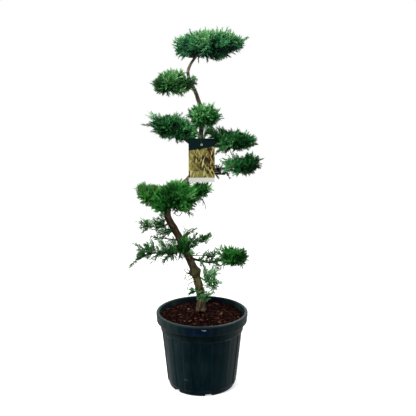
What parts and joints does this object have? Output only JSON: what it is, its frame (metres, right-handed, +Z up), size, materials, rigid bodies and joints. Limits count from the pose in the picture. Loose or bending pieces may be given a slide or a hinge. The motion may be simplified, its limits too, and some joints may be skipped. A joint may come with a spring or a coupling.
{
  "type": "juniper bonsai",
  "caption": "Tall cloud-pruned juniper with a bent bare trunk and flat pads of feathery evergreen foliage, in a round nursery pot of bark mulch.",
  "frame": {"origin": "centre of the pot's flat underside", "axes": "+Z up along the pot's axis, +X to the right as the plant is seen from its front, +Y towards its back"},
  "size_m": [0.6838, 0.483, 1.8453],
  "materials": {
    "pot_plastic": "moulded, satin, very dark green-black",
    "bark_mulch": "loose chips of dark red-brown bark",
    "juniper_bark": "rough, fibrous, grey-brown",
    "juniper_foliage": "feathery evergreen sprays, matt",
    "label_card": null,
    "label_string": "thin white tie"
  },
  "bodies": {
    "root": {"pot": "pot_plastic", "bark_mulch": "bark_mulch", "trunk": "juniper_bark", "left_high_bough": "juniper_bark", "centre_bough": "juniper_bark", "left_middle_bough": "juniper_bark", "right_middle_bough": "juniper_bark", "right_lower_bough": "juniper_bark", "main_left_bough": "juniper_bark", "main_front_bough": "juniper_bark", "main_right_bough": "juniper_bark", "main_back_bough": "juniper_bark", "left_wisp_bough": "juniper_bark", "left_spray_bough": "juniper_bark", "left_near_bough": "juniper_bark", "left_upper_bough": "juniper_bark", "right_wisp_bough": "juniper_bark", "right_low_bough": "juniper_bark", "low_tuft_bough": "juniper_bark", "crown_pad": "juniper_foliage", "left_high_pad": "juniper_foliage", "high_side_tuft": "juniper_foliage", "centre_pad": "juniper_foliage", "left_middle_pad": "juniper_foliage", "right_middle_pad": "juniper_foliage", "right_lower_pad": "juniper_foliage", "right_lower_twigs": "juniper_foliage", "main_left_pad": "juniper_foliage", "main_front_pad": "juniper_foliage", "main_right_pad": "juniper_foliage", "main_back_pad": "juniper_foliage", "left_wisp_far": "juniper_foliage", "left_wisp_near": "juniper_foliage", "left_spray_near": "juniper_foliage", "left_spray_far": "juniper_foliage", "left_spray_top": "juniper_foliage", "trunk_clump": "juniper_foliage", "right_wisp": "juniper_foliage", "right_low_pad": "juniper_foliage", "right_low_wisp": "juniper_foliage", "low_tuft": "juniper_foliage", "foot_tuft_left": "juniper_foliage", "foot_tuft_front": "juniper_foliage", "label_card": "label_card", "label_string": "label_string"}
  },
  "joints": []
}
